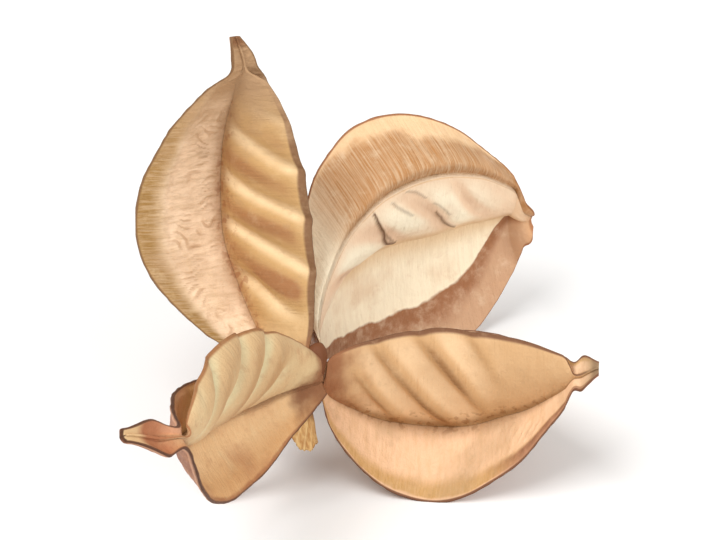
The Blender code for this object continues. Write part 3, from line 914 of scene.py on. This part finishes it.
def paint_valve(name, skin):
    """A valve's dry skin: cream inside, banded towards the margins, brown outside."""
    paint = ValvePaint(name, skin)
    outside = paint.mark("outside")
    colour = paint.over(paint.inside(), paint.husk(), outside, 0.35, 0.75)
    at_edge = paint.times(paint.step(outside, 0.02, 0.3), paint.step(outside, 0.98, 0.6))
    colour = paint.mix(at_edge, colour, skin.edge)
    relief = paint.math("ADD", paint.times(paint.streaks, 0.6), paint.times(paint.mottle, 0.5))
    normal = paint.bump(relief, 0.0004)
    return paint.finish(colour, paint.bump(paint.speckle, 0.00008, normal))


def paint_stem(name):
    """Reddish-brown bark with a long grain, and pale torn wood at the broken end."""
    paint = Paint(name, 0.6)
    place = paint.place()
    grain = paint.noise(paint.stretched(place, (1.0, 1.0, 0.25)), 1400, 5, 0.6)
    patches = paint.noise(place, 380, 4, 0.6)
    bark = paint.over(srgb(92, 46, 28), srgb(150, 92, 60), grain, 0.35, 0.7)
    bark = paint.over(bark, srgb(176, 126, 88), patches, 0.5, 0.72, 0.7)
    bark = paint.over(bark, srgb(112, 66, 38), paint.mark("below"), 3.0, -1.0)
    wood = paint.over(srgb(206, 176, 130), srgb(238, 216, 174), grain, 0.35, 0.65)
    colour = paint.mix(paint.mark("broken"), bark, wood)
    return paint.finish(colour, paint.bump(grain, 0.0002))


def paint_calyx(name):
    """Papery golden tan, darker at the top and paler along the veins."""
    paint = Paint(name, 0.7)
    place = paint.place()
    fibres = paint.noise(paint.stretched(place, (1.0, 1.0, 0.3)), 1600, 5, 0.6)
    patches = paint.noise(place, 500, 4, 0.6)
    paper = paint.over(srgb(182, 130, 76), srgb(222, 182, 122), fibres, 0.35, 0.7)
    paper = paint.over(paper, srgb(150, 98, 54), patches, 0.5, 0.75, 0.6)
    paper = paint.over(paper, srgb(236, 206, 150), paint.mark("vein"), 0.5, 1.0, 0.4)
    paper = paint.over(paper, srgb(112, 68, 38), paint.mark("depth"), 0.35, 0.0, 0.8)
    return paint.finish(paper, paint.bump(fibres, 0.00015))


class BollShape(bpy.types.PropertyGroup):
    """How finely the boll is made, and how rough its dry skin is."""
    stations: IntProperty(
        name="Stations", description="Sections along each valve", default=280, min=40)
    wall_points: IntProperty(
        name="Wall points", description="Points on half of a valve's inner wall",
        default=56, min=12)
    septum_points: IntProperty(
        name="Partition points", description="Points up each face of a partition",
        default=26, min=8)
    rim_points: IntProperty(
        name="Rim points", description="Points round a margin", default=5, min=2)
    outer_points: IntProperty(
        name="Outer points", description="Points round a valve's outside", default=100, min=24)
    wrinkle_length: FloatProperty(
        name="Wrinkle spacing", description="From one wrinkle to the next, in mm",
        default=1.05)
    wrinkle_depth: FloatProperty(
        name="Wrinkle depth", description="Height of the wrinkles across the walls, in mm",
        default=0.1)
    grain_depth: FloatProperty(
        name="Grain depth", description="Height of the grain on the outside, in mm",
        default=0.05)
    crack_depth: FloatProperty(
        name="Crack depth", description="Depth of the cracks in the flat partition, in mm",
        default=0.3)
    crumple_depth: FloatProperty(
        name="Crumple depth", description="Height of the small uneven dents, in mm",
        default=0.05)
    sway: FloatProperty(
        name="Sway", description="How far the dried walls wander from a clean curve, in mm",
        default=0.18)
    stem_points: IntProperty(
        name="Stem points", description="Points round the stalk", default=96, min=12)
    stem_rows: IntProperty(
        name="Stem rows", description="Rings down the stalk", default=150, min=12)
    bark_depth: FloatProperty(
        name="Bark depth", description="Height of the bark's grain, in mm", default=0.05)
    calyx_points: IntProperty(
        name="Calyx points", description="Points round the calyx", default=420, min=40)
    calyx_rows: IntProperty(
        name="Calyx rows", description="Points down each face of the calyx", default=16, min=4)
    fold_gain: FloatProperty(
        name="Fold depth", description="Depth of the partition's folds against the solids'",
        default=1.35)
    fold_sharpness: FloatProperty(
        name="Fold sharpness", description="How much deeper the partition's folds cut",
        default=0.54)


class BollStage(bpy.types.PropertyGroup):
    """The floor, the light and the camera round the boll."""
    floor_colour: FloatVectorProperty(
        name="Floor", description="Colour of the floor", subtype="COLOR", size=3,
        default=(0.9, 0.895, 0.885), min=0, max=1)
    elevation: FloatProperty(
        name="Camera elevation", description="How far the camera looks down",
        subtype="ANGLE", default=math.radians(35.6))
    distance: FloatProperty(
        name="Camera distance", description="From the boll's centre to the camera",
        unit="LENGTH", default=0.6)
    lens: FloatProperty(
        name="Lens", description="Focal length in millimetres", default=231)
    sky: FloatProperty(
        name="Surrounding light", description="Strength of the light from all round",
        default=0.6)
    key_power: FloatProperty(
        name="Key light", description="Power of the large light, in watts", default=5.9)


FLOOR_SIZE = 6                   # metres, as the lamps' spots and sizes are
FLOOR_ROUGHNESS = 0.7
ROOM_COLOUR = (1, 0.995, 0.985, 1)
LAMPS = (                        # spot, size and share of the key light's power
    ("key", (-0.35, -0.25, 0.75), 0.55, 1.0),
    ("fill", (0.6, -0.5, 0.5), 0.6, 0.6),
)
SENSOR_WIDTH = 36                # mm
SHIFT_X, SHIFT_Y = 0.068, 0.141  # the valves meet low and left in the photograph's frame
CLIP_START, CLIP_END = 0.01, 20


def lay_floor(stage):
    """The plain pale floor."""
    deselect()
    bpy.ops.mesh.primitive_plane_add(size=FLOOR_SIZE)
    floor = bpy.context.object
    floor.name = "floor"
    paper = bpy.data.materials.new("floor_paper")
    paper.use_nodes = True
    shader = paper.node_tree.nodes["Principled BSDF"]
    shader.inputs["Base Color"].default_value = (*stage.floor_colour, 1)
    shader.inputs["Roughness"].default_value = FLOOR_ROUGHNESS
    floor.data.materials.append(paper)


def set_up(thing, way):
    """Adds a lamp or camera to the scene, turned to look the given way."""
    thing.rotation_euler = way.to_track_quat("-Z", "Y").to_euler()
    bpy.context.scene.collection.objects.link(thing)


def set_light(stage):
    """Even light from all round, and two large soft lamps."""
    world = bpy.data.worlds.new("soft_room")
    bpy.context.scene.world = world
    world.use_nodes = True
    background = world.node_tree.nodes["Background"]
    background.inputs["Color"].default_value = ROOM_COLOUR
    background.inputs["Strength"].default_value = stage.sky
    for name, spot, size, share in LAMPS:
        light = bpy.data.lights.new(name, "AREA")
        light.size = size
        light.energy = share * stage.key_power
        lamp = bpy.data.objects.new(name, light)
        lamp.location = spot
        set_up(lamp, CENTRE * MM - Vector(spot))
    bpy.context.scene.view_settings.view_transform = "Standard"


def set_camera(stage):
    """The camera at the photograph's viewing angle."""
    view = bpy.data.cameras.new("camera")
    view.lens = stage.lens
    view.sensor_width = SENSOR_WIDTH
    view.shift_x, view.shift_y = SHIFT_X, SHIFT_Y
    view.clip_start, view.clip_end = CLIP_START, CLIP_END
    camera = bpy.data.objects.new("camera", view)
    back = Vector((0, -math.cos(stage.elevation), math.sin(stage.elevation)))
    camera.location = CENTRE * MM + back * stage.distance
    set_up(camera, -back)
    bpy.context.scene.camera = camera


class COTTONBOLL_OT_valves(bpy.types.Operator):
    """Makes the four valves with their partitions and their dry skin"""
    bl_idname = "cotton_boll.valves"
    bl_label = "Valves"

    def execute(self, context):
        for name, form in FORMS.items():
            piece = build_valve(name + "_fine", form, context.scene.boll_shape)
            hand_over(piece, paint_valve(name + "_skin", SKINS[name]), name)
        return {"FINISHED"}


class COTTONBOLL_OT_stem(bpy.types.Operator):
    """Makes the column with the piece of stalk below it"""
    bl_idname = "cotton_boll.stem"
    bl_label = "Column and stalk"

    def execute(self, context):
        piece = build_stem("stem_fine", context.scene.boll_shape)
        hand_over(piece, paint_stem("stem_bark"), "stem")
        return {"FINISHED"}


class COTTONBOLL_OT_calyx(bpy.types.Operator):
    """Makes the ragged papery calyx"""
    bl_idname = "cotton_boll.calyx"
    bl_label = "Calyx"

    def execute(self, context):
        piece = build_calyx("calyx_fine", context.scene.boll_shape)
        hand_over(piece, paint_calyx("calyx_paper"), "calyx")
        return {"FINISHED"}


class COTTONBOLL_OT_stage(bpy.types.Operator):
    """Lays the floor and sets the light and the camera"""
    bl_idname = "cotton_boll.stage"
    bl_label = "Floor, light and camera"

    def execute(self, context):
        stage = context.scene.boll_stage
        lay_floor(stage)
        set_light(stage)
        set_camera(stage)
        return {"FINISHED"}


class COTTONBOLL_PT_panel(bpy.types.Panel):
    """Lists the boll's pieces in the sidebar"""
    bl_idname = "COTTONBOLL_PT_panel"
    bl_label = "Cotton boll"
    bl_space_type = "VIEW_3D"
    bl_region_type = "UI"
    bl_category = "Boll"

    def draw(self, context):
        for group in (context.scene.boll_shape, context.scene.boll_stage):
            for name in group.__annotations__:
                self.layout.prop(group, name)
        for operator in OPERATORS:
            self.layout.operator(operator.bl_idname)


OPERATORS = (COTTONBOLL_OT_stage, COTTONBOLL_OT_valves, COTTONBOLL_OT_stem,
             COTTONBOLL_OT_calyx)
CLASSES = (BollShape, BollStage, *OPERATORS, COTTONBOLL_PT_panel)


def register():
    for item in CLASSES:
        bpy.utils.register_class(item)
    bpy.types.Scene.boll_shape = PointerProperty(type=BollShape)
    bpy.types.Scene.boll_stage = PointerProperty(type=BollStage)


def unregister():
    del bpy.types.Scene.boll_stage
    del bpy.types.Scene.boll_shape
    for item in reversed(CLASSES):
        bpy.utils.unregister_class(item)


def main():
    """Makes everything."""
    register()
    bpy.ops.cotton_boll.stage()
    bpy.ops.cotton_boll.valves()
    bpy.ops.cotton_boll.stem()
    bpy.ops.cotton_boll.calyx()
    bpy.context.view_layer.update()


if __name__ == "__main__":
    main()
